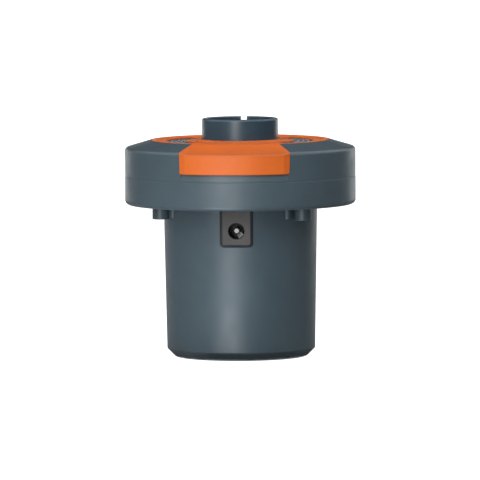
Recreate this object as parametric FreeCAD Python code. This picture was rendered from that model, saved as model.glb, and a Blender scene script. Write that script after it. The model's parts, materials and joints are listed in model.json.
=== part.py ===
import FreeCAD, Part
import math
import os

# Electric air pump for air beds and pool toys: a motor tube under a wide round head, with the outlet
# nozzle on top.  Millimetres.  The pump stands on z = 0 with +Z up its axis.  The front, with the tab and
# the power socket, is -Y.  An azimuth is in degrees from the front, and grows towards +X.

V = FreeCAD.Vector
SEAM_AZIMUTH = 135.0
AXIS_POINT = V(0, 0, 0)
UP = V(0, 0, 1)

# Housing
WALL = 2.2
FOOT_R = 17.5
FOOT_THICK = 1.6
FOOT_STANDS = 0.8
BASE_R = 26.4
CHAMFER_TOP = 4.1
TUBE_R_LOW = 29.73
TUBE_R_TOP = 30.84
HEAD_Z = 61.95
HEAD_R = 46.35
SPLIT_Z = 73.3
SPLIT_GAP = 0.02
SPLIT_STEP = 0.06
SHOULDER_EDGE = 1.7
SHOULDER_Z = 84.8
CROWN_R = 36.0
CROWN_Z = 87.95
ROOF_TOP = 86.2
ROOF_UNDER = 84.4
FLOOR_Z = 3.6
TUBE_BORE_LOW = TUBE_R_LOW - WALL
TUBE_BORE_TOP = TUBE_R_TOP - WALL
PAN_FLOOR = HEAD_Z + WALL
HEAD_BORE = HEAD_R - WALL

# Screws that hold the head together
BOSS_AZIMUTHS = (-69.0, 51.0, 171.0)
BOSS_CIRCLE_R = 33.6
BOSS_R = 3.3
BOSS_Z = 56.6
SCREW_SEAT_DEPTH = 2.6
SCREW_R = 1.5
SCREW_HEAD_R = 2.4
CUP_SCREW_AZIMUTHS = (-9.0, 111.0, 231.0)
CUP_SCREW_CIRCLE_R = 32.0

# Orange trim
TRIM_TOP = 87.4
LIP_TOP = 87.9
LIP_WIDTH = 1.9
COLLAR_TOP = 88.1
COLLAR_R = 17.6
WINDOW_R_IN = 21.5
WINDOW_R_OUT = 29.5
WINDOW_HALF_ANGLE = 45.0
GRILLE_TOP = 87.1
TAB_HALF_ANGLE = 28.2
TAB_FLAT_HALF_ANGLE = 24.6
TAB_LEAN = 2.5
TAB_R = 47.35
TAB_TOP = 84.2
TAB_CROWN_Z = 88.0
TAB_BOTTOM = 76.35
SILL_Z = 73.6
SILL_DEPTH = 0.45
SIDE_CORNER_RISE = 0.35
TAB_PROUD_AT_SIDES = 0.05

# Air path
NOZZLE_R = 15.4
NOZZLE_FOOT_R = 15.65
NOZZLE_FOOT_TOP = 88.3
NOZZLE_HOLE_R = 15.75
NOZZLE_BORE = 13.5
NOZZLE_TOP = 96.4
NOTCH_WIDTH = 2.4
NOTCH_DEPTH = 1.5
NOTCH_AZIMUTH = 176.8
FLANGE_Z = 80.8
FLANGE_THICK = 1.2
CUP_R = 29.8
CUP_BORE = 28.3
CUP_Z = 69.6
EYE_R = 12.0
IMPELLER_R = 26.3
BLADES = 8
RETURN_VANES = 9

# Motor
SHAFT_R = 1.15
BEARING_PLAY = 0.03
PLATE_THICK = 2.0
CAN_R = 14.0
CAN_BORE = 13.1
CAN_TOP = PAN_FLOOR
CAN_LOW = 22.2
END_CAP_LOW = 18.2
POLES = 5
ROTOR_R = 9.7
STACK_LOW = 32.0
STACK_TOP = 56.0
COMMUTATOR_R = 3.5
MOTOR_SCREW_X = 8.0

# Power socket at the front
SOCKET_Z = 53.1
PLATE_FACE_Y = -31.1
PLATE_HALF = 6.55
PLATE_CORNER = 1.6
PLATE_LOW = 46.6
SOCKET_BORE = 3.15
PIN_R = 1.25
LEAF_WIDTH = 2.2
LEAF_AZIMUTH = 42.0

# Switch at the back
SWITCH_Z = 43.5
PAD_FACE_Y = 31.0
BEZEL_HALF_X = 5.25
BEZEL_HALF_Z = 7.8
CAVITY_HALF_X = 3.7
CAVITY_HALF_Z = 6.7
ROCKER_HALF_X = 3.35
PIVOT_Y = 27.8
PIVOT_R = 0.9
ROCKER_TILT = 10.0


# Inside, worked out from the sizes above
IMPELLER_LOW = CUP_Z + 1.6
IMPELLER_TOP = 76.3
BUSH_R = 2.6
FRONT_BEARING_R = 3.0
REAR_BEARING_R = 3.0
DAMPER_R = CAN_R + 2.5
DAMPER_TOP = CAN_LOW + 6.0
COMMUTATOR_LOW = CAN_LOW + 2.6
BRUSH_BACK_Y = 6.4
TERMINAL_Y = 9.2
TERMINAL_HALF_X = 1.4
TERMINAL_LOW = 13.4
FLANGE_FACE_Y = -26.3
JACK_BACK_Y = -16.2
JACK_TAB_X = 2.4
JACK_TAB_Y = -18.6
JACK_TAB_LOW = 45.0
SWITCH_BOX_HALF_X = 4.4
SWITCH_BOX_HALF_Z = 7.2
SWITCH_BACK_Y = 20.4
SWITCH_TAB_X = 2.4
SWITCH_TAB_Y = SWITCH_BACK_Y - 1.6
SWITCH_TAB_LOW = SWITCH_Z - 1.6
WIRE_R = 0.85


# ---- Helpers ----

def turn(shape, azimuth):
    """A copy of a shape drawn at the front (azimuth 0), turned to the azimuth."""
    copy = shape.copy()
    copy.rotate(AXIS_POINT, UP, azimuth)
    return copy


def polar(r, azimuth, z):
    angle = math.radians(azimuth)
    return V(r * math.sin(angle), -r * math.cos(angle), z)


def tube(r_in, r_out, z0, z1):
    outer = Part.makeCylinder(r_out, z1 - z0, V(0, 0, z0))
    if r_in <= 0:
        return outer
    return outer.cut(Part.makeCylinder(r_in, z1 - z0 + 2, V(0, 0, z0 - 1)))


def box(x0, x1, y0, y1, z0, z1):
    return Part.makeBox(x1 - x0, y1 - y0, z1 - z0, V(x0, y0, z0))


def rod(r, start, end, r_end=None):
    """A cylinder between two points, or a cone if r_end is given."""
    way = end - start
    if r_end is None:
        return Part.makeCylinder(r, way.Length, start, way)
    return Part.makeCone(r, r_end, way.Length, start, way)


def outline(points, place):
    """A closed wire through points (a, b) or (a, b, corner radius), put in space by place(a, b)."""
    ends = []
    count = len(points)
    for i in range(count):
        corner = V(points[i][0], points[i][1], 0)
        radius = points[i][2] if len(points[i]) > 2 else 0
        if radius == 0:
            ends.append((corner, None, corner))
            continue
        before = points[i - 1]
        after = points[(i + 1) % count]
        back = (V(before[0], before[1], 0) - corner).normalize()
        forward = (V(after[0], after[1], 0) - corner).normalize()
        half = back.getAngle(forward) / 2
        reach = radius / math.tan(half)
        inward = (back + forward).normalize() * (radius / math.sin(half) - radius)
        ends.append((corner + back * reach, corner + inward, corner + forward * reach))
    edges = []
    for i in range(count):
        first, middle, last = [p and place(p.x, p.y) for p in ends[i]]
        following = ends[(i + 1) % count][0]
        following = place(following.x, following.y)
        if middle:
            edges.append(Part.Arc(first, middle, last).toShape())
        if last.distanceToPoint(following) > 1e-6:
            edges.append(Part.makeLine(last, following))
    return Part.Wire(edges)


def turned(points, sweep=360.0, start=SEAM_AZIMUTH):
    """The (r, z) outline turned about Z, from the start azimuth through the sweep."""
    face = Part.Face(outline(points, lambda a, b: V(a, 0, b)))
    solid = face.revolve(AXIS_POINT, UP, sweep)
    solid.rotate(AXIS_POINT, UP, start - 90.0)
    return solid


def sector(r_in, r_out, z0, z1, middle, half):
    return turned([(r_in, z0), (r_out, z0), (r_out, z1), (r_in, z1)], 2 * half, middle - half)


def post(r, z0, z1, r_circle, azimuth, edge=0.0):
    """An upright pin standing at a polar place, its lower edge rounded."""
    centre = polar(r_circle, azimuth, 0)
    shape = turned([(0, z0), (r, z0, edge), (r, z1), (0, z1)])
    shape.translate(centre)
    return shape


def one(shape):
    """The tidy single solid in a boolean's result."""
    solids = shape.removeSplitter().Solids
    assert len(solids) == 1, len(solids)
    return solids[0]


def joined(shapes):
    return shapes[0].multiFuse(shapes[1:])


def group(shapes):
    return Part.makeCompound(shapes)


def vane(r_in, r_out, sweep, lean, thick, z0, z1):
    """A blade curved from r_in at azimuth 0 to r_out at azimuth sweep; lean sets where its middle is."""
    arc = Part.Arc(polar(r_in, 0, z0), polar((r_in + r_out) / 2, sweep * lean, z0), polar(r_out, sweep, z0))
    edge = arc.toShape()
    centre = edge.Curve.Center
    low, high = edge.ParameterRange
    rails = []
    for side in (-thick / 2, thick / 2):
        rail = []
        for parameter in (low, (low + high) / 2, high):
            point = edge.Curve.value(parameter)
            out = (point - centre).normalize()
            rail.append(point + out * side)
        rails.append(rail)
    near, far = rails
    wire = Part.Wire([
        Part.Arc(near[0], near[1], near[2]).toShape(),
        Part.makeLine(near[2], far[2]),
        Part.Arc(far[2], far[1], far[0]).toShape(),
        Part.makeLine(far[0], near[0]),
    ])
    return Part.Face(wire).extrude(V(0, 0, z1 - z0))


def screw(seat, way, length, r, r_head, head_height):
    """A pan-head screw: seat is the point under its head, way the direction it is driven."""
    way = V(way).normalize()
    shank = rod(r, seat, seat + way * (length - r))
    point = rod(r, seat + way * (length - r), seat + way * length, 0.3)
    head = rod(r_head, seat, seat - way * head_height)
    rim = [e for e in head.Edges
           if e.Length > 6 and abs((e.CenterOfMass - seat) * way + head_height) < 0.01]
    head = head.makeFillet(head_height * 0.45, rim)
    for turned_by in (0, 90):
        slot = Part.makeBox(r_head * 1.1, r_head * 0.26, head_height * 0.6,
                            V(-r_head * 0.55, -r_head * 0.13, -head_height * 0.6))
        slot.rotate(AXIS_POINT, UP, turned_by)
        on_head = FreeCAD.Placement(seat - way * head_height, FreeCAD.Rotation(UP, -way))
        slot.Placement = on_head * slot.Placement
        head = head.cut(slot)
    return one(joined([head, shank, point]))


def wire(points, r, bend):
    """An insulated wire along straight runs joined by arcs."""
    edges = []
    start = points[0]
    for before, corner, after in zip(points, points[1:], points[2:]):
        back = (before - corner).normalize()
        forward = (after - corner).normalize()
        half = back.getAngle(forward) / 2
        first = corner + back * (bend / math.tan(half))
        last = corner + forward * (bend / math.tan(half))
        middle = corner + (back + forward).normalize() * (bend / math.sin(half) - bend)
        edges.append(Part.makeLine(start, first))
        edges.append(Part.Arc(first, middle, last).toShape())
        start = last
    edges.append(Part.makeLine(start, points[-1]))
    section = Part.Wire(Part.makeCircle(r, points[0], points[1] - points[0]))
    return Part.Wire(edges).makePipeShell([section], True, False)


# ---- Housing ----

def lower_shell():
    shell = turned([
        (0, FOOT_THICK),
        (FOOT_R + 0.1, FOOT_THICK),
        (FOOT_R + 0.1, FOOT_STANDS),
        (BASE_R, FOOT_STANDS, 0.6),
        (TUBE_R_LOW, CHAMFER_TOP, 0.8),
        (TUBE_R_TOP, HEAD_Z, 1.6),
        (HEAD_R, HEAD_Z, 1.9),
        (HEAD_R, SPLIT_Z, 0.3),
        (HEAD_BORE, SPLIT_Z),
        (HEAD_BORE, PAN_FLOOR, 1.0),
        (TUBE_BORE_TOP, PAN_FLOOR),
        (TUBE_BORE_LOW, FLOOR_Z + 2.6, 0.8),
        (BASE_R - 1.5, FLOOR_Z, 0.8),
        (0, FLOOR_Z),
    ])
    added = []
    removed = []
    for azimuth in BOSS_AZIMUTHS:
        added.append(post(BOSS_R, BOSS_Z, HEAD_Z + 0.5, BOSS_CIRCLE_R, azimuth, 0.4))
        for side in (-10.0, 10.0):
            added.append(post(1.5, BOSS_Z + 0.6, HEAD_Z + 0.5, TUBE_R_TOP - 0.4, azimuth + side, 0.4))
        centre = polar(BOSS_CIRCLE_R, azimuth, 0)
        seat = centre + V(0, 0, BOSS_Z + SCREW_SEAT_DEPTH)
        removed.append(rod(SCREW_HEAD_R + 0.2, centre + V(0, 0, BOSS_Z - 1), seat))
        removed.append(rod(SCREW_R + 0.2, seat - UP, centre + V(0, 0, PAN_FLOOR + 1)))
    for azimuth in CUP_SCREW_AZIMUTHS:
        added.append(post(2.0, PAN_FLOOR - 0.5, CUP_Z, CUP_SCREW_CIRCLE_R, azimuth))
        centre = polar(CUP_SCREW_CIRCLE_R, azimuth, 0)
        removed.append(rod(1.1, centre + V(0, 0, PAN_FLOOR + 0.2), centre + V(0, 0, CUP_Z + 1)))
    for azimuth in (45, 135, 225, 315):
        added.append(turn(box(-1, 1, -TUBE_BORE_LOW - 0.8, -DAMPER_R, FLOOR_Z - 0.2, DAMPER_TOP), azimuth))
    pad = box(-7.2, 7.2, TUBE_R_LOW - 3.5, PAD_FACE_Y, SWITCH_Z - 9.6, SWITCH_Z + 9.2)
    upright = [e for e in pad.Edges if abs(e.tangentAt(e.FirstParameter).y) > 0.9]
    pad = pad.makeFillet(1.2, upright)
    added.append(pad.cut(tube(0, TUBE_BORE_TOP, 0, HEAD_Z)))
    shell = joined([shell] + added)
    cutout = box(-PLATE_HALF - 0.1, PLATE_HALF + 0.1, -36, -24, PLATE_LOW - 0.1, HEAD_Z)
    lower_corners = [e for e in cutout.Edges if abs(e.tangentAt(e.FirstParameter).y) > 0.9
                     and e.CenterOfMass.z < PLATE_LOW]
    removed.append(cutout.makeFillet(PLATE_CORNER + 0.1, lower_corners))
    removed.append(box(-SWITCH_BOX_HALF_X - 0.1, SWITCH_BOX_HALF_X + 0.1, 22, 36,
                       SWITCH_Z - SWITCH_BOX_HALF_Z - 0.1, SWITCH_Z + SWITCH_BOX_HALF_Z + 0.1))
    return one(shell.cut(removed))


def tab_side_cutters(azimuth):
    """Blocks that trim the tab's leaning sides: it is a little wider at its top than at its bottom."""
    cutters = []
    for side in (-1, 1):
        cutter = box(0, 12, -60, -30, SILL_Z - 4, CROWN_Z + 8)
        if side < 0:
            cutter = box(-12, 0, -60, -30, SILL_Z - 4, CROWN_Z + 8)
        cutter.rotate(V(0, 0, TAB_TOP), V(0, 1, 0), side * TAB_LEAN)
        cutters.append(turn(cutter, side * azimuth))
    return cutters


def tab_seat():
    """The room in the upper shell that the tab of the trim lies in, and the bevelled edge below it."""
    room = turned([
        (CROWN_R - 0.5, ROOF_TOP - 0.05),
        (HEAD_R - 0.5, SHOULDER_Z - 0.85),
        (HEAD_R - 0.5, TAB_BOTTOM - 0.1),
        (HEAD_R + 3, TAB_BOTTOM - 0.1),
        (HEAD_R + 3, CROWN_Z + 3),
        (CROWN_R - 0.5, CROWN_Z + 3),
    ], 2 * TAB_HALF_ANGLE + 2, -TAB_HALF_ANGLE - 1)
    bevel = turned([
        (HEAD_R - SILL_DEPTH, TAB_BOTTOM),
        (HEAD_R - SILL_DEPTH, TAB_BOTTOM - 0.4, 0.3),
        (HEAD_R + 0.01, SILL_Z),
        (HEAD_R + 3, SILL_Z),
        (HEAD_R + 3, TAB_BOTTOM),
    ], 2 * TAB_HALF_ANGLE - 1.4, -TAB_HALF_ANGLE + 0.7)
    return room.cut(tab_side_cutters(TAB_HALF_ANGLE + 0.12)).fuse(bevel)


def upper_shell():
    low = SPLIT_Z + SPLIT_GAP
    shell = turned([
        (NOZZLE_HOLE_R, ROOF_TOP),
        (CROWN_R - 0.3, ROOF_TOP),
        (CROWN_R - 0.3, CROWN_Z, 0.25),
        (HEAD_R, SHOULDER_Z, SHOULDER_EDGE),
        (HEAD_R - SPLIT_STEP, low),
        (HEAD_BORE - 0.15, low),
        (HEAD_BORE - 0.15, low - 2.3, 0.3),
        (HEAD_BORE - 1.6, low - 2.3, 0.3),
        (HEAD_BORE - 1.6, low + 1.6),
        (HEAD_BORE, low + 3.0),
        (HEAD_BORE, SHOULDER_Z - 1.8, 1.5),
        (CROWN_R - 1.0, ROOF_UNDER),
        (NOZZLE_HOLE_R, ROOF_UNDER),
    ])
    pillars = [post(2.9, PAN_FLOOR + 0.3, ROOF_UNDER + 0.4, BOSS_CIRCLE_R, a) for a in BOSS_AZIMUTHS]
    pilots = [post(SCREW_R, PAN_FLOOR, PAN_FLOOR + 10, BOSS_CIRCLE_R, a) for a in BOSS_AZIMUTHS]
    windows = [sector(WINDOW_R_IN - 0.9, WINDOW_R_OUT + 0.9, ROOF_UNDER - 1, ROOF_TOP + 1, side,
                      WINDOW_HALF_ANGLE + 2) for side in (90, -90)]
    return one(joined([shell] + pillars).cut(pilots + windows + [tab_seat()]))


def tab_section(r_face, z_shoulder):
    """The (r, z) outline of the tab: a bridge from the collar, then down the shoulder and the wall."""
    return [
        (COLLAR_R - 0.5, ROOF_TOP + 0.05),
        (CROWN_R - 0.4, ROOF_TOP + 0.05),
        (HEAD_R - 0.4, SHOULDER_Z - 0.75),
        (HEAD_R - 0.4, TAB_BOTTOM),
        (r_face, TAB_BOTTOM, 0.5),
        (r_face, z_shoulder, 0.8),
        (CROWN_R - 0.1, TAB_CROWN_Z, 6.0),
        (COLLAR_R - 0.5, TAB_CROWN_Z),
    ]


def top_trim():
    plate = turned([
        (NOZZLE_HOLE_R, ROOF_TOP + 0.05),
        (CROWN_R - 0.4, ROOF_TOP + 0.05),
        (CROWN_R - 0.4, LIP_TOP, 0.2),
        (CROWN_R - LIP_WIDTH, LIP_TOP, 0.2),
        (CROWN_R - LIP_WIDTH - 0.3, TRIM_TOP, 0.2),
        (COLLAR_R + 0.3, TRIM_TOP, 0.2),
        (COLLAR_R, COLLAR_TOP, 0.3),
        (NOZZLE_HOLE_R, COLLAR_TOP, 0.2),
    ])
    windows = [sector(WINDOW_R_IN, WINDOW_R_OUT, ROOF_TOP - 1, TRIM_TOP + 1, side, WINDOW_HALF_ANGLE)
               for side in (90, -90)]
    plate = plate.cut(windows)
    middle = turned(tab_section(TAB_R, TAB_TOP), 2 * TAB_FLAT_HALF_ANGLE, -TAB_FLAT_HALF_ANGLE)
    side_section = tab_section(HEAD_R + TAB_PROUD_AT_SIDES, SHOULDER_Z + SIDE_CORNER_RISE)
    sides = []
    for side in (-1, 1):
        rings = []
        for azimuth, section in (
            (TAB_FLAT_HALF_ANGLE, tab_section(TAB_R, TAB_TOP)),
            (TAB_HALF_ANGLE + 0.8, side_section),
        ):
            angle = side * azimuth
            rings.append(outline(section, lambda a, b: polar(a, angle, b)))
        sides.append(Part.makeLoft(rings, True, True))
    return one(joined([plate, joined([middle] + sides).cut(tab_side_cutters(TAB_HALF_ANGLE))]))


def intake_grilles():
    """Two louvred inserts: a flange under the trim, and ribs along the window with bars across it."""
    inserts = []
    half = WINDOW_HALF_ANGLE
    pitch = (WINDOW_R_OUT - WINDOW_R_IN) / 4
    for side in (90, -90):
        flange = sector(WINDOW_R_IN - 0.8, WINDOW_R_OUT + 0.8, ROOF_UNDER, ROOF_TOP, side, half + 1.7)
        ribs = sector(WINDOW_R_IN + 0.1, WINDOW_R_OUT - 0.1, ROOF_TOP - 0.1, GRILLE_TOP, side, half - 0.2)
        slots = []
        for row in range(4):
            r0 = WINDOW_R_IN + row * pitch + 0.35
            for part in range(-3, 4):
                slots.append(sector(r0, r0 + pitch - 0.7, ROOF_UNDER - 1, GRILLE_TOP + 1,
                                    side + part * 12.6, 5.6))
        inserts.append(one(flange.fuse(ribs).cut(slots)))
    return group(inserts)


def foot_pad():
    return turned([(0, 0), (FOOT_R, 0, 0.3), (FOOT_R, FOOT_THICK - 0.02), (0, FOOT_THICK - 0.02)])


def casing_screws():
    seat_z = BOSS_Z + SCREW_SEAT_DEPTH
    return group([screw(polar(BOSS_CIRCLE_R, a, seat_z), UP, 14, SCREW_R, SCREW_HEAD_R, 1.7)
                  for a in BOSS_AZIMUTHS])


# ---- Air path ----

def outlet_nozzle():
    top = FLANGE_Z + FLANGE_THICK
    nozzle = turned([
        (NOZZLE_BORE, FLANGE_Z, 0.5),
        (CUP_R, FLANGE_Z),
        (CUP_R, top, 0.3),
        (NOZZLE_FOOT_R, top, 0.5),
        (NOZZLE_FOOT_R, NOZZLE_FOOT_TOP),
        (NOZZLE_R, NOZZLE_FOOT_TOP),
        (NOZZLE_R, NOZZLE_TOP, 0.85),
        (NOZZLE_BORE, NOZZLE_TOP, 0.5),
    ])
    lugs = []
    holes = []
    for azimuth in CUP_SCREW_AZIMUTHS:
        lugs.append(post(2.9, FLANGE_Z, top, CUP_SCREW_CIRCLE_R, azimuth))
        holes.append(post(1.3, FLANGE_Z - 1, top + 1, CUP_SCREW_CIRCLE_R, azimuth))
    notch = turn(box(-NOTCH_WIDTH / 2, NOTCH_WIDTH / 2, -NOZZLE_R - 2, -NOZZLE_BORE + 2,
                     NOZZLE_TOP - NOTCH_DEPTH, NOZZLE_TOP + 1), NOTCH_AZIMUTH)
    return one(joined([nozzle] + lugs).cut(holes + [notch]))


def nozzle_seal():
    return turned([
        (NOZZLE_FOOT_R + 0.05, FLANGE_Z + FLANGE_THICK + 0.6, 0.4),
        (NOZZLE_FOOT_R + 2.8, FLANGE_Z + FLANGE_THICK + 0.05, 0.4),
        (NOZZLE_FOOT_R + 2.8, ROOF_UNDER - 0.02, 0.4),
        (NOZZLE_FOOT_R + 0.35, ROOF_UNDER - 0.02, 0.3),
    ])


def guide_vanes():
    """Fixed vanes over a plate, with a cone that turns the air up into the nozzle."""
    plate_low = IMPELLER_TOP + 0.5
    plate = turned([
        (0, plate_low),
        (IMPELLER_R + 0.2, plate_low, 0.3),
        (IMPELLER_R + 0.2, plate_low + 1.0, 0.3),
        (6.0, plate_low + 1.0, 3.0),
        (2.4, FLANGE_Z - 0.4, 1.5),
        (0, FLANGE_Z + 0.3),
    ])
    first = vane(5.0, CUP_BORE - 0.05, -48, 0.35, 1.1, plate_low + 0.2, FLANGE_Z - 0.05)
    vanes = [turn(first, i * 360 / RETURN_VANES) for i in range(RETURN_VANES)]
    return one(joined([plate] + vanes).common(tube(0, CUP_BORE - 0.05, 0, NOZZLE_TOP)))


def volute_cup():
    cup = turned([
        (EYE_R, CUP_Z, 0.4),
        (CUP_R, CUP_Z, 0.6),
        (CUP_R, FLANGE_Z - 0.02),
        (CUP_BORE, FLANGE_Z - 0.02),
        (CUP_BORE, CUP_Z + 1.2, 1.0),
        (EYE_R, CUP_Z + 1.2, 0.5),
    ])
    bosses = []
    holes = []
    for azimuth in CUP_SCREW_AZIMUTHS:
        bosses.append(post(2.9, CUP_Z + 0.02, FLANGE_Z - 0.02, CUP_SCREW_CIRCLE_R, azimuth))
        holes.append(post(1.3, CUP_Z - 1, FLANGE_Z + 1, CUP_SCREW_CIRCLE_R, azimuth))
    legs = [sector(27.2, 29.4, PAN_FLOOR + PLATE_THICK + 0.02, CUP_Z + 0.5, a, 5)
            for a in range(30, 390, 60)]
    return one(joined([cup] + bosses + legs).cut(holes))


def volute_screws():
    return group([screw(polar(CUP_SCREW_CIRCLE_R, a, FLANGE_Z + FLANGE_THICK), -UP, 15, 1.1, 2.2, 1.3)
                  for a in CUP_SCREW_AZIMUTHS])


def impeller():
    blade_low = IMPELLER_LOW + 0.8
    back = turned([
        (BUSH_R, IMPELLER_TOP - 1.0),
        (IMPELLER_R, IMPELLER_TOP - 1.0),
        (IMPELLER_R, IMPELLER_TOP, 0.3),
        (BUSH_R, IMPELLER_TOP),
    ])
    hub = turned([
        (BUSH_R, IMPELLER_LOW - 0.6),
        (4.2, IMPELLER_LOW - 0.6, 0.5),
        (4.6, IMPELLER_TOP - 0.6),
        (BUSH_R, IMPELLER_TOP - 0.6),
    ])
    shroud = turned([
        (EYE_R - 0.5, IMPELLER_LOW, 0.2),
        (IMPELLER_R, IMPELLER_LOW, 0.2),
        (IMPELLER_R, IMPELLER_LOW + 0.8),
        (EYE_R - 0.5, IMPELLER_LOW + 0.8),
    ])
    first = vane(8.5, IMPELLER_R - 0.2, -42, 0.38, 1.0, blade_low - 0.2, IMPELLER_TOP - 0.8)
    blades = [turn(first, i * 360 / BLADES) for i in range(BLADES)]
    return one(joined([back, hub, shroud] + blades).common(tube(0, IMPELLER_R, 0, NOZZLE_TOP)))


def impeller_bush():
    return tube(SHAFT_R, BUSH_R, IMPELLER_LOW - 0.6, IMPELLER_TOP)


# ---- Motor ----

def motor_plate():
    plate = turned([
        (4.4, PAN_FLOOR),
        (CUP_R - 0.1, PAN_FLOOR + 0.02),
        (CUP_R - 0.1, PAN_FLOOR + PLATE_THICK, 0.4),
        (4.4, PAN_FLOOR + PLATE_THICK, 0.4),
    ])
    spigot = tube(26.2, TUBE_BORE_TOP - 0.25, PAN_FLOOR - 1.8, PAN_FLOOR + 0.2)
    screw_holes = [rod(1.35, V(x, 0, PAN_FLOOR - 1), V(x, 0, PAN_FLOOR + 3))
                   for x in (-MOTOR_SCREW_X, MOTOR_SCREW_X)]
    vents = [sector(17.0, 20.0, PAN_FLOOR - 1, PAN_FLOOR + 3, a, 18) for a in range(0, 360, 60)]
    return one(plate.fuse(spigot).cut(screw_holes + vents))


def motor_can():
    can = turned([
        (FRONT_BEARING_R, CAN_TOP - 1.0),
        (CAN_BORE, CAN_TOP - 1.0, 0.6),
        (CAN_BORE, CAN_LOW),
        (CAN_R, CAN_LOW),
        (CAN_R, CAN_TOP - 0.02, 1.2),
        (FRONT_BEARING_R + 1.0, CAN_TOP - 0.02, 0.3),
        (FRONT_BEARING_R + 1.0, CAN_TOP + 1.8, 0.4),
        (FRONT_BEARING_R, CAN_TOP + 1.8),
    ])
    screw_holes = [rod(1.2, V(x, 0, CAN_TOP - 2), V(x, 0, CAN_TOP + 1))
                   for x in (-MOTOR_SCREW_X, MOTOR_SCREW_X)]
    vents = [turn(box(-3.5, 3.5, -CAN_R - 1, -CAN_BORE + 1.5, CAN_LOW + 7.4, CAN_LOW + 10.4), a)
             for a in (0, 180)]
    return one(can.cut(screw_holes + vents))


def motor_end_cap():
    cap = turned([
        (REAR_BEARING_R, END_CAP_LOW - 0.9, 0.2),
        (4.6, END_CAP_LOW - 0.9, 0.4),
        (4.6, END_CAP_LOW, 0.3),
        (CAN_R - 0.1, END_CAP_LOW, 0.8),
        (CAN_R - 0.1, CAN_LOW - 0.02),
        (CAN_BORE - 0.05, CAN_LOW - 0.02),
        (CAN_BORE - 0.05, CAN_LOW + 1.8, 0.3),
        (11.4, CAN_LOW + 1.8, 0.3),
        (11.4, END_CAP_LOW + 1.8),
        (REAR_BEARING_R, END_CAP_LOW + 1.8),
    ])
    slots = [box(-TERMINAL_HALF_X, TERMINAL_HALF_X, s * TERMINAL_Y - 0.25, s * TERMINAL_Y + 0.25,
                 END_CAP_LOW - 1, CAN_LOW + 2) for s in (-1, 1)]
    return one(cap.cut(slots))


def motor_magnets():
    return group([sector(ROTOR_R + 0.5, CAN_BORE - 0.02, STACK_LOW - 1.5, STACK_TOP + 1.5, a, 62)
                  for a in (90, -90)])


def armature_core():
    """Laminated stack: a hub, and an arm with a curved shoe for each pole."""
    parts = [tube(SHAFT_R, 3.2, STACK_LOW, STACK_TOP)]
    shoe_half = 180 / POLES - 5.5
    for i in range(POLES):
        azimuth = i * 360 / POLES
        parts.append(turn(box(-1.1, 1.1, -ROTOR_R + 1.0, -2.6, STACK_LOW, STACK_TOP), azimuth))
        parts.append(sector(ROTOR_R - 1.6, ROTOR_R, STACK_LOW, STACK_TOP, azimuth, shoe_half))
    return one(joined(parts))


def armature_windings():
    """One coil per pole: copper on both sides of the arm and over its ends."""
    coils = []
    for i in range(POLES):
        outer = box(-2.5, 2.5, -ROTOR_R + 2.3, -5.0, STACK_LOW - 2.2, STACK_TOP + 2.2)
        upright = [e for e in outer.Edges if abs(e.tangentAt(e.FirstParameter).y) > 0.9]
        outer = outer.makeFillet(1.3, upright)
        arm = box(-1.15, 1.15, -ROTOR_R, -4, STACK_LOW - 0.05, STACK_TOP + 0.05)
        coils.append(turn(outer.cut(arm), i * 360 / POLES))
    return group(coils)


def commutator():
    body = tube(SHAFT_R, COMMUTATOR_R, COMMUTATOR_LOW, STACK_LOW - 2.6)
    risers = tube(SHAFT_R, COMMUTATOR_R + 0.9, STACK_LOW - 3.4, STACK_LOW - 2.6)
    cut = box(-0.2, 0.2, -COMMUTATOR_R - 2, -COMMUTATOR_R + 0.5, COMMUTATOR_LOW - 1, STACK_LOW)
    cuts = [turn(cut, (i + 0.5) * 360 / POLES) for i in range(POLES)]
    return one(body.fuse(risers).cut(cuts))


def brushes():
    """Carbon blocks that ride on the commutator."""
    sleeve = tube(0, COMMUTATOR_R + 0.04, COMMUTATOR_LOW - 1, STACK_LOW)
    block = box(-1.3, 1.3, -BRUSH_BACK_Y, -2.8, COMMUTATOR_LOW + 0.4, COMMUTATOR_LOW + 3.2).cut(sleeve)
    return group([one(block), turn(one(block), 180)])


def brush_arms():
    """Copper leaves from the terminals up to the backs of the brushes."""
    arm = box(-1.2, 1.2, -BRUSH_BACK_Y - 0.35, -BRUSH_BACK_Y, END_CAP_LOW + 1.85, COMMUTATOR_LOW + 3.2)
    foot = box(-1.2, 1.2, -TERMINAL_Y + 0.25, -BRUSH_BACK_Y, END_CAP_LOW + 1.85, END_CAP_LOW + 2.2)
    leaf = one(arm.fuse(foot))
    return group([leaf, turn(leaf, 180)])


def motor_terminals():
    tab = box(-TERMINAL_HALF_X, TERMINAL_HALF_X, -TERMINAL_Y - 0.25, -TERMINAL_Y + 0.25,
              TERMINAL_LOW, END_CAP_LOW + 3.2)
    hole = rod(0.6, V(0, -TERMINAL_Y - 1, TERMINAL_LOW + 3.2), V(0, -TERMINAL_Y + 1, TERMINAL_LOW + 3.2))
    tab = one(tab.cut(hole))
    return group([tab, turn(tab, 180)])


def motor_shaft():
    return turned([
        (0, END_CAP_LOW + 0.2),
        (SHAFT_R, END_CAP_LOW + 0.2, 0.3),
        (SHAFT_R, IMPELLER_TOP - 0.1, 0.3),
        (0, IMPELLER_TOP - 0.1),
    ])


def front_bearing():
    return tube(SHAFT_R + BEARING_PLAY, FRONT_BEARING_R, CAN_TOP - 2.0, CAN_TOP + 1.7)


def rear_bearing():
    return tube(SHAFT_R + BEARING_PLAY, REAR_BEARING_R, END_CAP_LOW - 0.8, END_CAP_LOW + 1.8)


def motor_screws():
    seat = PAN_FLOOR + PLATE_THICK
    return group([screw(V(x, 0, seat), -UP, 4.2, 1.2, 2.2, 1.2) for x in (-MOTOR_SCREW_X, MOTOR_SCREW_X)])


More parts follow.
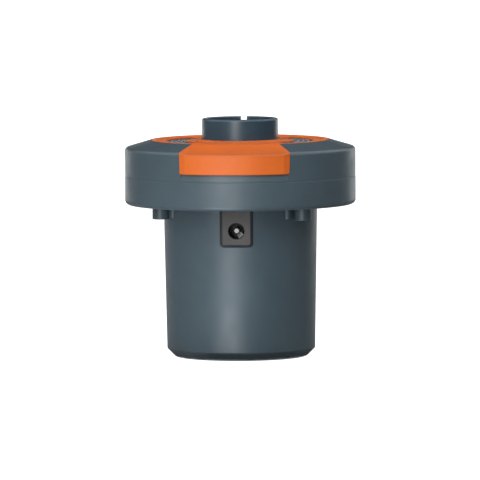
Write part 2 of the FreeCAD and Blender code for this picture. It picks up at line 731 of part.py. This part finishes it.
def motor_damper():
    return turned([
        (CAN_R + 0.02, END_CAP_LOW + 2.4, 0.4),
        (DAMPER_R - 0.02, END_CAP_LOW + 2.4, 0.4),
        (DAMPER_R - 0.02, DAMPER_TOP, 0.4),
        (CAN_R + 0.02, DAMPER_TOP, 0.4),
    ])


# ---- Power socket ----

def jack_plate():
    """The flat plate, bevelled all round but at its top, with a flange behind the tube wall."""
    bevel = 1.0
    low = PLATE_LOW
    high = HEAD_Z - 0.05
    front = outline([(-PLATE_HALF + bevel, high), (-PLATE_HALF + bevel, low + bevel, 0.8),
                     (PLATE_HALF - bevel, low + bevel, 0.8), (PLATE_HALF - bevel, high)],
                    lambda a, b: V(a, PLATE_FACE_Y, b))
    back = outline([(-PLATE_HALF, high), (-PLATE_HALF, low, PLATE_CORNER),
                    (PLATE_HALF, low, PLATE_CORNER), (PLATE_HALF, high)],
                   lambda a, b: V(a, PLATE_FACE_Y + bevel, b))
    bevelled = Part.makeLoft([front, back], True, True)
    body = Part.Face(back).extrude(V(0, 1.6, 0))
    neck = box(-PLATE_HALF + 0.3, PLATE_HALF - 0.3, PLATE_FACE_Y + 2.4, -25.0, low + 0.5, high - 0.6)
    flange = box(-8.0, 8.0, FLANGE_FACE_Y, FLANGE_FACE_Y + 1.4, low - 1.8, high - 1.0)
    hole = rod(SOCKET_BORE, V(0, -40, SOCKET_Z), V(0, -20, SOCKET_Z))
    mouth = rod(SOCKET_BORE + 0.2, V(0, PLATE_FACE_Y - 0.01, SOCKET_Z), V(0, PLATE_FACE_Y + 0.2, SOCKET_Z),
                SOCKET_BORE)
    return one(joined([bevelled, body, neck, flange]).cut([hole, mouth]))


def jack_body():
    block = box(-4.5, 4.5, FLANGE_FACE_Y + 1.42, JACK_BACK_Y, SOCKET_Z - 4.8, SOCKET_Z + 4.8)
    block = block.makeFillet(0.4, [e for e in block.Edges if abs(e.tangentAt(e.FirstParameter).y) > 0.9])
    bore = rod(SOCKET_BORE, V(0, -40, SOCKET_Z), V(0, JACK_BACK_Y - 1.8, SOCKET_Z))
    pin_hole = rod(PIN_R, V(0, -30, SOCKET_Z), V(0, JACK_BACK_Y - 0.4, SOCKET_Z))
    return one(block.cut([bore, pin_hole]))


def jack_pin():
    tip_y = PLATE_FACE_Y + 2.2
    pin = rod(PIN_R, V(0, tip_y + 0.6, SOCKET_Z), V(0, JACK_BACK_Y - 0.42, SOCKET_Z))
    tip = rod(0.9, V(0, tip_y, SOCKET_Z), V(0, tip_y + 0.6, SOCKET_Z), PIN_R)
    return one(joined([pin, tip]))


def jack_leaf():
    """The spring contact in the lower right of the socket's bore, bowed in towards the pin."""
    front = PLATE_FACE_Y + 0.9
    bow = PLATE_FACE_Y + 2.8
    back = JACK_BACK_Y - 1.85
    low = -2.9
    high = -1.75
    thick = 0.3
    points = [(front, low), (bow, high), (back, low),
              (back, low + thick), (bow, high + thick), (front, low + thick)]
    face = outline(points, lambda a, b: V(-LEAF_WIDTH / 2, a, b))
    leaf = Part.Face(face).extrude(V(LEAF_WIDTH, 0, 0))
    leaf.rotate(AXIS_POINT, V(0, 1, 0), -LEAF_AZIMUTH)
    leaf.translate(V(0, 0, SOCKET_Z))
    return one(leaf)


def jack_terminals():
    z_top = SOCKET_Z - 4.82
    return group([box(x - 1.0, x + 1.0, JACK_TAB_Y - 0.25, JACK_TAB_Y + 0.25, JACK_TAB_LOW, z_top)
                  for x in (-JACK_TAB_X, JACK_TAB_X)])


# ---- Switch ----

def switch_frame():
    z0 = SWITCH_Z - BEZEL_HALF_Z
    z1 = SWITCH_Z + BEZEL_HALF_Z
    bezel = box(-BEZEL_HALF_X, BEZEL_HALF_X, PAD_FACE_Y + 0.05, PAD_FACE_Y + 1.5, z0, z1)
    bezel = bezel.makeFillet(0.9, [e for e in bezel.Edges if abs(e.tangentAt(e.FirstParameter).y) > 0.9])
    rim = [e for e in bezel.Edges if abs(e.CenterOfMass.y - PAD_FACE_Y - 1.5) < 0.01]
    bezel = bezel.makeFillet(0.4, rim)
    shape = bezel.fuse(box(-SWITCH_BOX_HALF_X, SWITCH_BOX_HALF_X, SWITCH_BACK_Y, PAD_FACE_Y + 0.5,
                           SWITCH_Z - SWITCH_BOX_HALF_Z, SWITCH_Z + SWITCH_BOX_HALF_Z))
    cavity = box(-CAVITY_HALF_X, CAVITY_HALF_X, SWITCH_BACK_Y + 1.2, PAD_FACE_Y + 3,
                 SWITCH_Z - CAVITY_HALF_Z, SWITCH_Z + CAVITY_HALF_Z)
    sockets = rod(PIVOT_R + 0.05, V(-SWITCH_BOX_HALF_X - 1, PIVOT_Y, SWITCH_Z),
                  V(SWITCH_BOX_HALF_X + 1, PIVOT_Y, SWITCH_Z))
    return one(shape.cut([cavity, sockets]))


def switch_rocker():
    """The rocker in its off position, lower half pressed in, with its two pivot stubs."""
    profile = outline([(-1.6, -2.2, 0.5), (2.6, -5.5, 0.3), (4.6, -5.6, 0.4), (3.9, 0.0, 8.0),
                       (4.6, 5.6, 0.4), (2.6, 5.5, 0.3), (-1.6, 2.2, 0.5)],
                      lambda a, b: V(-ROCKER_HALF_X, PIVOT_Y + a, SWITCH_Z + b))
    body = Part.Face(profile).extrude(V(2 * ROCKER_HALF_X, 0, 0))
    bars = [rod(0.25, V(-1.8, PIVOT_Y + 4.33, SWITCH_Z + z), V(1.8, PIVOT_Y + 4.33, SWITCH_Z + z))
            for z in (2.6, 3.6)]
    reach = SWITCH_BOX_HALF_X - 0.3
    stubs = rod(PIVOT_R, V(-reach, PIVOT_Y, SWITCH_Z), V(reach, PIVOT_Y, SWITCH_Z))
    rocker = one(joined([body, stubs] + bars))
    rocker.rotate(V(0, PIVOT_Y, SWITCH_Z), V(1, 0, 0), -ROCKER_TILT)
    return rocker


def switch_terminals():
    return group([box(x - 0.3, x + 0.3, SWITCH_BACK_Y - 3.2, SWITCH_BACK_Y - 0.02,
                      SWITCH_TAB_LOW, SWITCH_TAB_LOW + 3.2) for x in (-SWITCH_TAB_X, SWITCH_TAB_X)])


# ---- Wiring ----

def suppressor_capacitor():
    z = TERMINAL_LOW + 1.2
    disc = rod(2.9, V(-1.1, 0, z - 0.8), V(1.1, 0, z - 0.8))
    disc = disc.makeFillet(0.6, [e for e in disc.Edges if e.Length > 15])
    leads = rod(0.3, V(0, -TERMINAL_Y + 0.27, z), V(0, TERMINAL_Y - 0.27, z))
    return one(disc.fuse(leads))


def return_wire():
    return wire([
        V(-JACK_TAB_X, JACK_TAB_Y, JACK_TAB_LOW - 0.02),
        V(-JACK_TAB_X, JACK_TAB_Y, 36),
        V(-1.0, -21.5, 28),
        V(-1.0, -21.5, 8.0),
        V(0, -TERMINAL_Y, 7.0),
        V(0, -TERMINAL_Y, TERMINAL_LOW - 0.02),
    ], WIRE_R, 3.0)


def feed_wire():
    return wire([
        V(JACK_TAB_X, JACK_TAB_Y, JACK_TAB_LOW - 0.02),
        V(JACK_TAB_X, JACK_TAB_Y, 36),
        V(20.5, -6.0, 34),
        V(20.5, 6.0, 34),
        V(SWITCH_TAB_X, SWITCH_TAB_Y, 36),
        V(SWITCH_TAB_X, SWITCH_TAB_Y, SWITCH_TAB_LOW - 0.02),
    ], WIRE_R, 4.0)


def motor_wire():
    return wire([
        V(-SWITCH_TAB_X, SWITCH_TAB_Y, SWITCH_TAB_LOW - 0.02),
        V(-SWITCH_TAB_X, SWITCH_TAB_Y, 38),
        V(-1.0, 21.5, 30),
        V(-1.0, 21.5, 8.0),
        V(0, TERMINAL_Y, 7.0),
        V(0, TERMINAL_Y, TERMINAL_LOW - 0.02),
    ], WIRE_R, 3.0)


NODES = [
    lower_shell, upper_shell, top_trim, intake_grilles, foot_pad, casing_screws,
    outlet_nozzle, nozzle_seal, guide_vanes, volute_cup, volute_screws, impeller, impeller_bush,
    motor_plate, motor_can, motor_end_cap, motor_magnets, armature_core, armature_windings, commutator,
    brushes, brush_arms, motor_terminals, motor_shaft, front_bearing, rear_bearing,
    motor_screws, motor_damper,
    jack_plate, jack_body, jack_pin, jack_leaf, jack_terminals,
    switch_frame, switch_rocker, switch_terminals,
    suppressor_capacitor, return_wire, feed_wire, motor_wire,
]

os.makedirs("parts", exist_ok=True)
for make in NODES:
    shape = make()
    assert shape.isValid(), make.__name__
    assert shape.Volume > 0, make.__name__
    shape.exportStep("parts/" + make.__name__ + ".step")
    print(make.__name__, len(shape.Solids), round(shape.Volume, 1))
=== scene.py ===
import json
import math

import bmesh
import bpy
from mathutils import Matrix, Vector

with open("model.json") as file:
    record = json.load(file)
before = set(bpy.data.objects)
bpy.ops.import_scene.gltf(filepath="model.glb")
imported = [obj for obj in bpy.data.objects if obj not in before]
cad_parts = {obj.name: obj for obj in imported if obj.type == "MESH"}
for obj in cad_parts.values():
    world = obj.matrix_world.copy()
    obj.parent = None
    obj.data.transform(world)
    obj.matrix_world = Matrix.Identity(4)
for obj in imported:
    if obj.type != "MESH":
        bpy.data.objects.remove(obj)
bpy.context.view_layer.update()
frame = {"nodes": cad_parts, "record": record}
nodes = frame["nodes"]

MM = 0.001


# ---- Shader helpers ----

def srgb(red, green, blue):
    """Linear colour of an 8-bit sRGB one."""
    linear = []
    for value in (red, green, blue):
        value /= 255
        linear.append(value / 12.92 if value <= 0.04045 else ((value + 0.055) / 1.055) ** 2.4)
    return (*linear, 1.0)


def scaled(color, factor):
    return (*(channel * factor for channel in color[:3]), 1.0)


class Shader:
    """A principled material with object coordinates to build its texture from."""

    def __init__(self, name, roughness=0.5, metallic=0.0, specular=0.5):
        self.material = bpy.data.materials.new(name)
        self.material.use_nodes = True
        self.tree = self.material.node_tree
        self.bsdf = self.tree.nodes["Principled BSDF"]
        self.bsdf.inputs["Roughness"].default_value = roughness
        self.bsdf.inputs["Metallic"].default_value = metallic
        self.bsdf.inputs["Specular IOR Level"].default_value = specular
        self.place = self.tree.nodes.new("ShaderNodeTexCoord").outputs["Object"]

    def link(self, output, socket):
        self.tree.links.new(output, socket)

    def node(self, kind, **inputs):
        made = self.tree.nodes.new(kind)
        for name, value in inputs.items():
            made.inputs[name.replace("_", " ")].default_value = value
        return made

    def stretched(self, factors):
        """Object coordinates scaled by three factors."""
        mapping = self.node("ShaderNodeMapping")
        mapping.inputs["Scale"].default_value = factors
        self.link(self.place, mapping.inputs["Vector"])
        return mapping.outputs["Vector"]

    def noise(self, size, detail=2.0, place=None):
        """Noise whose features measure about size metres."""
        made = self.node("ShaderNodeTexNoise", Scale=1.0 / size, Detail=detail)
        self.link(place or self.place, made.inputs["Vector"])
        return made.outputs["Fac"]

    def between(self, factor, low, high, start=0.35, end=0.65):
        """A number that goes from low to high as the factor goes from start to end."""
        made = self.node("ShaderNodeMapRange", From_Min=start, From_Max=end, To_Min=low, To_Max=high)
        self.link(factor, made.inputs["Value"])
        return made.outputs["Result"]

    def blend(self, factor, first, second):
        """A colour between two colours, each a value or an output."""
        made = self.tree.nodes.new("ShaderNodeMix")
        made.data_type = "RGBA"
        self.link(factor, made.inputs[0])
        for socket, color in ((made.inputs[6], first), (made.inputs[7], second)):
            if isinstance(color, tuple):
                socket.default_value = color
            else:
                self.link(color, socket)
        return made.outputs[2]

    def normal_dot(self, other):
        """The cosine between the surface's normal and another direction, a value or an output."""
        geometry = self.tree.nodes.new("ShaderNodeNewGeometry")
        dot = self.tree.nodes.new("ShaderNodeVectorMath")
        dot.operation = "DOT_PRODUCT"
        self.link(geometry.outputs["Normal"], dot.inputs[0])
        if isinstance(other, tuple):
            dot.inputs[1].default_value = other
        else:
            self.link(other, dot.inputs[1])
        return dot.outputs["Value"]

    def edges(self, radius):
        """1 on edges rounded over the radius, 0 on flats."""
        bevel = self.node("ShaderNodeBevel", Radius=radius)
        bevel.samples = 4
        return self.between(self.normal_dot(bevel.outputs["Normal"]), 1.0, 0.0, start=0.86, end=0.99)

    def facing(self, direction):
        """1 where the surface faces the direction, 0 where it leans away by more than about 25 degrees."""
        return self.between(self.normal_dot(direction), 0.0, 1.0, start=0.9, end=0.98)

    def bands(self, spans):
        """1, but lowered over spans of height, each (bottom, middle, top, what is left at the middle)."""
        split = self.tree.nodes.new("ShaderNodeSeparateXYZ")
        self.link(self.place, split.inputs["Vector"])
        height = split.outputs["Z"]
        factor = None
        for bottom, middle, top, left in spans:
            rise = self.between(height, 1.0, left, start=bottom, end=middle)
            fall = self.between(height, left, 1.0, start=middle, end=top)
            band = self.combined("MAXIMUM", rise, fall)
            factor = self.combined("MULTIPLY", factor, band) if factor else band
        return factor

    def combined(self, operation, first, second):
        """Two outputs put together by a Math node's operation."""
        made = self.tree.nodes.new("ShaderNodeMath")
        made.operation = operation
        self.link(first, made.inputs[0])
        self.link(second, made.inputs[1])
        return made.outputs["Value"]

    def bumps(self, *layers):
        """Bump layers, each (height, depth in metres, strength), one over the other."""
        normal = None
        for height, depth, strength in layers:
            bump = self.node("ShaderNodeBump", Strength=strength, Distance=depth)
            self.link(height, bump.inputs["Height"])
            if normal:
                self.link(normal, bump.inputs["Normal"])
            normal = bump.outputs["Normal"]
        self.link(normal, self.bsdf.inputs["Normal"])

    def color(self, output):
        self.link(output, self.bsdf.inputs["Base Color"])

    def rough(self, output):
        self.link(output, self.bsdf.inputs["Roughness"])


def moulded_plastic(name, color, roughness, wear_and_highlight=0.12, specular=0.5, painted_shade=(), side_shade_color=None):
    """Injection-moulded plastic: spark-eroded grain, faint flow clouding, and edges lightened as partly polish
    wear and partly painted highlight.

    Painted shade darkens spans of height, and a darker side colour, also painted shade, goes on everything that
    doesn't face the front.
    """
    made = Shader(name, specular=specular)
    cloud = made.noise(18 * MM, detail=3.0)
    speck = made.noise(0.5 * MM, detail=1.0)
    tone = made.blend(made.between(cloud, 0.0, 1.0), scaled(color, 0.95), scaled(color, 1.05))
    tone = made.blend(made.between(speck, 0.0, 0.25, start=0.45, end=0.75), tone, scaled(color, 1.25))
    # Partly polish wear and partly painted highlight: rounded edges are lightened towards 2.2 times the colour.
    worn_and_lit_edge = made.between(made.edges(0.5 * MM), 0.0, wear_and_highlight, start=0.0, end=1.0)
    tone = made.blend(worn_and_lit_edge, tone, scaled(color, 2.2))
    # Painted shade: faces that don't face the front take the darker side colour.
    if side_shade_color:
        tone = made.blend(made.facing((0.0, -1.0, 0.0)), side_shade_color, tone)
    # Painted shade: the spans of height are darkened towards black.
    if painted_shade:
        tone = made.blend(made.bands(painted_shade), (0.0, 0.0, 0.0, 1.0), tone)
    made.color(tone)
    made.rough(made.between(made.noise(7 * MM, detail=4.0), roughness - 0.04, roughness + 0.04))
    made.bumps((made.noise(0.3 * MM), 0.012 * MM, 0.6), (made.noise(9 * MM), 0.03 * MM, 0.15))
    return made.material


def rubber(name, color, roughness=0.75):
    made = Shader(name, specular=0.3)
    cloud = made.noise(5 * MM, detail=4.0)
    made.color(made.blend(made.between(cloud, 0.0, 1.0), scaled(color, 0.85), scaled(color, 1.2)))
    made.rough(made.between(cloud, roughness - 0.08, roughness + 0.08))
    made.bumps((made.noise(0.25 * MM), 0.02 * MM, 0.7))
    return made.material


def metal(name, color, roughness, lines=(1.0, 1.0, 30.0)):
    """Metal with fine drawn or turned lines across the stretched axis."""
    made = Shader(name, metallic=1.0)
    streak = made.noise(0.8 * MM, detail=4.0, place=made.stretched(lines))
    stain = made.noise(6 * MM, detail=3.0)
    made.color(made.blend(made.between(stain, 0.0, 1.0), scaled(color, 0.86), scaled(color, 1.08)))
    made.rough(made.between(streak, roughness - 0.08, roughness + 0.1))
    made.bumps((streak, 0.01 * MM, 0.4))
    return made.material


def mineral(name, color, roughness):
    """Pressed carbon, sintered magnet or dipped ceramic: grainy and matte."""
    made = Shader(name, specular=0.4)
    grain = made.noise(0.3 * MM, detail=5.0)
    made.color(made.blend(made.between(grain, 0.0, 1.0), scaled(color, 0.75), scaled(color, 1.25)))
    made.rough(made.between(grain, roughness - 0.1, roughness + 0.1))
    made.bumps((grain, 0.03 * MM, 0.5))
    return made.material


SLATE = srgb(54, 67, 74)
ORANGE = srgb(181, 83, 14)
NOZZLE = srgb(38, 58, 70)
SOCKET = srgb(53, 50, 48)
# Painted shade for the socket plate's bevel faces, which face away from the front.
SOCKET_BEVEL_SHADE = srgb(26, 33, 37)

# Painted shade: spans of height darkened where shade falls, on the base's chamfer, on the tube under the head,
# and along the crease of the orange tab.
CHAMFER_SHADE = (-4 * MM, 2.4 * MM, 4.3 * MM, 0.85)
OVERHANG_SHADE = (59.2 * MM, 60.6 * MM, 61.9 * MM, 0.9)
CREASE_SHADE = (83.2 * MM, 84.2 * MM, 87.2 * MM, 0.82)

MATERIALS = {
    "slate_plastic": moulded_plastic("slate_plastic", SLATE, 0.41, wear_and_highlight=0.02,
                                     painted_shade=(CHAMFER_SHADE, OVERHANG_SHADE)),
    "orange_plastic": moulded_plastic("orange_plastic", ORANGE, 0.5, wear_and_highlight=0.03, specular=0.4,
                                      painted_shade=(CREASE_SHADE,)),
    "dark_plastic": moulded_plastic("dark_plastic", NOZZLE, 0.33),
    "socket_plastic": moulded_plastic("socket_plastic", SOCKET, 0.62, wear_and_highlight=0.0, painted_shade=(OVERHANG_SHADE,),
                                      side_shade_color=SOCKET_BEVEL_SHADE),
    "black_plastic": moulded_plastic("black_plastic", srgb(30, 31, 33), 0.38),
    "inner_plastic": moulded_plastic("inner_plastic", srgb(42, 48, 52), 0.5),
    "foot_rubber": rubber("foot_rubber", srgb(38, 42, 45)),
    "seal_rubber": rubber("seal_rubber", srgb(28, 28, 29)),
    "steel": metal("steel", srgb(140, 140, 141), 0.5),
    "core_steel": metal("core_steel", srgb(130, 132, 134), 0.45, lines=(1.0, 1.0, 60.0)),
    "magnet": mineral("magnet", srgb(52, 52, 54), 0.6),
    "brass": metal("brass", srgb(214, 178, 104), 0.3),
    "bronze": metal("bronze", srgb(156, 118, 70), 0.5),
    "copper": metal("copper", srgb(200, 112, 66), 0.35, lines=(1.0, 1.0, 12.0)),
    "carbon": mineral("carbon", srgb(36, 36, 38), 0.6),
    "wire_red": rubber("wire_red", srgb(168, 26, 22), 0.4),
    "wire_black": rubber("wire_black", srgb(22, 22, 23), 0.4),
    "ceramic": mineral("ceramic", srgb(180, 112, 50), 0.35),
}

# The grilles are lighter than the casing, and the socket's spring is tinned, so it is duller than the pin.
SPECIAL = {
    "intake_grilles": moulded_plastic("grille_plastic", srgb(82, 86, 90), 0.3),
    "jack_leaf": metal("tinned_leaf", srgb(158, 158, 156), 0.85),
}

for part in frame["record"]["subparts"]:
    for slot in nodes[part["node"]].material_slots:
        slot.material = SPECIAL.get(part["node"], MATERIALS[part["material_slot"]])


# ---- Stage, light and camera ----

AIM_HEIGHT = 47.3 * MM
AIM_LEFT = 0.28 * MM
CAMERA_AZIMUTH = 3.2
CAMERA_ELEVATION = 4.2
CAMERA_ROLL = -0.33
CAMERA_DISTANCE = 3.0
FIELD_WIDTH = 192.8 * MM

ROOM_LIGHT = 1.6
FLOOR_HALF_WIDTH = 20.0
FLOOR_TONE = 0.35
FLOOR_GLOW = 1.25
CARD_STEPS = 12
CARD_GLOW_TINT = (0.9, 1.0, 1.08, 1.0)

# Name, azimuth, elevation, distance, width, height, power in watts
SOFTBOXES = [
    ("key", CAMERA_AZIMUTH - 15.0, 22.0, 1.2, 0.36, 1.3, 8.2),
    ("left", -62.0, 8.0, 1.4, 0.6, 0.5, 1.6),
]

# Name, azimuths of its two ends, (radius, height) of its two long edges, tone, glow.
# The flags stand upright round the pump. The others lie on the floor next to it.
CARDS = [
    ("right_flag", 5.0, 139.0, [(0.9, 0.001), (0.9, 0.4)], 0.02, 0.0),
    ("left_flag", -138.0, -27.0, [(0.9, 0.001), (0.9, 0.4)], 0.15, 0.0),
    ("back_flag", 150.0, 235.0, [(0.9, 0.2), (0.9, 1.6)], 0.02, 0.0),
    ("right_card", 5.0, 145.0, [(0.027, 0.001), (0.9, 0.001)], 0.14, 0.0),
    ("left_card", 145.0, 333.0, [(0.027, 0.001), (0.9, 0.001)], 0.25, 0.0),
    ("front_card", -27.0, 5.0, [(0.027, 0.001), (0.04, 0.001)], 0.08, 0.0),
    ("front_glow", -23.0, -5.0, [(0.06, 0.0015), (0.2, 0.0015)], 0.35, 5.5),
]


def towards(azimuth, elevation):
    """Unit vector from the pump to a place at that azimuth from the front and elevation."""
    a = math.radians(azimuth)
    e = math.radians(elevation)
    return Vector((math.sin(a) * math.cos(e), -math.cos(a) * math.cos(e), math.sin(e)))


def softbox(name, azimuth, elevation, distance, width, height, power):
    data = bpy.data.lights.new(name, "AREA")
    data.shape = "RECTANGLE"
    data.size = width
    data.size_y = height
    data.energy = power
    light = bpy.data.objects.new(name, data)
    bpy.context.scene.collection.objects.link(light)
    way = towards(azimuth, elevation)
    light.location = Vector((0, 0, AIM_HEIGHT)) + way * distance
    light.rotation_euler = way.to_track_quat("Z", "Y").to_euler()
    light.visible_camera = False


def staged(name, grid, shader, tone, glow_color, glow):
    """A set piece made of a bmesh grid, with a grey surface that also gives light."""
    mesh = bpy.data.meshes.new(name)
    grid.to_mesh(mesh)
    grid.free()
    made = bpy.data.objects.new(name, mesh)
    bpy.context.scene.collection.objects.link(made)
    shader.bsdf.inputs["Base Color"].default_value = (tone, tone, tone, 1.0)
    shader.bsdf.inputs["Emission Color"].default_value = glow_color
    shader.bsdf.inputs["Emission Strength"].default_value = glow
    mesh.materials.append(shader.material)
    return made


def card(name, start, end, edges, tone, glow):
    """A curved card that shades the pump from part of the white room, or lights it, out of the camera's sight."""
    grid = bmesh.new()
    rows = []
    for radius, height in edges:
        azimuths = [start + (end - start) * i / CARD_STEPS for i in range(CARD_STEPS + 1)]
        ways = [towards(azimuth, 0.0) * radius for azimuth in azimuths]
        rows.append([grid.verts.new((way.x, way.y, height)) for way in ways])
    lower, upper = rows
    for i in range(CARD_STEPS):
        grid.faces.new((lower[i], lower[i + 1], upper[i + 1], upper[i]))
    cloth = Shader(name + "_cloth", roughness=0.9, specular=0.0)
    made = staged(name, grid, cloth, tone, CARD_GLOW_TINT, glow)
    made.visible_camera = False
    made.visible_shadow = False


def studio():
    scene = bpy.context.scene
    scene.view_settings.view_transform = "Standard"
    world = bpy.data.worlds.new("studio")
    world.use_nodes = True
    background = world.node_tree.nodes["Background"]
    background.inputs["Color"].default_value = (1.0, 1.0, 1.0, 1.0)
    background.inputs["Strength"].default_value = ROOM_LIGHT
    scene.world = world

    grid = bmesh.new()
    bmesh.ops.create_grid(grid, x_segments=1, y_segments=1, size=FLOOR_HALF_WIDTH)
    paper = Shader("floor_paper", roughness=0.9, specular=0.1)
    staged("floor", grid, paper, FLOOR_TONE, (1.0, 1.0, 1.0, 1.0), FLOOR_GLOW)

    for box in SOFTBOXES:
        softbox(*box)
    for sheet in CARDS:
        card(*sheet)


def camera():
    data = bpy.data.cameras.new("camera")
    data.sensor_width = 36.0
    data.lens = data.sensor_width * CAMERA_DISTANCE / FIELD_WIDTH
    data.clip_end = 100.0
    made = bpy.data.objects.new("camera", data)
    bpy.context.scene.collection.objects.link(made)
    way = towards(CAMERA_AZIMUTH, CAMERA_ELEVATION)
    made.location = Vector((-AIM_LEFT, 0, AIM_HEIGHT)) + way * CAMERA_DISTANCE
    made.rotation_mode = "QUATERNION"
    facing = way.to_track_quat("Z", "Y")
    made.rotation_quaternion = facing @ Matrix.Rotation(math.radians(CAMERA_ROLL), 4, "Z").to_quaternion()
    bpy.context.scene.camera = made


studio()
camera()
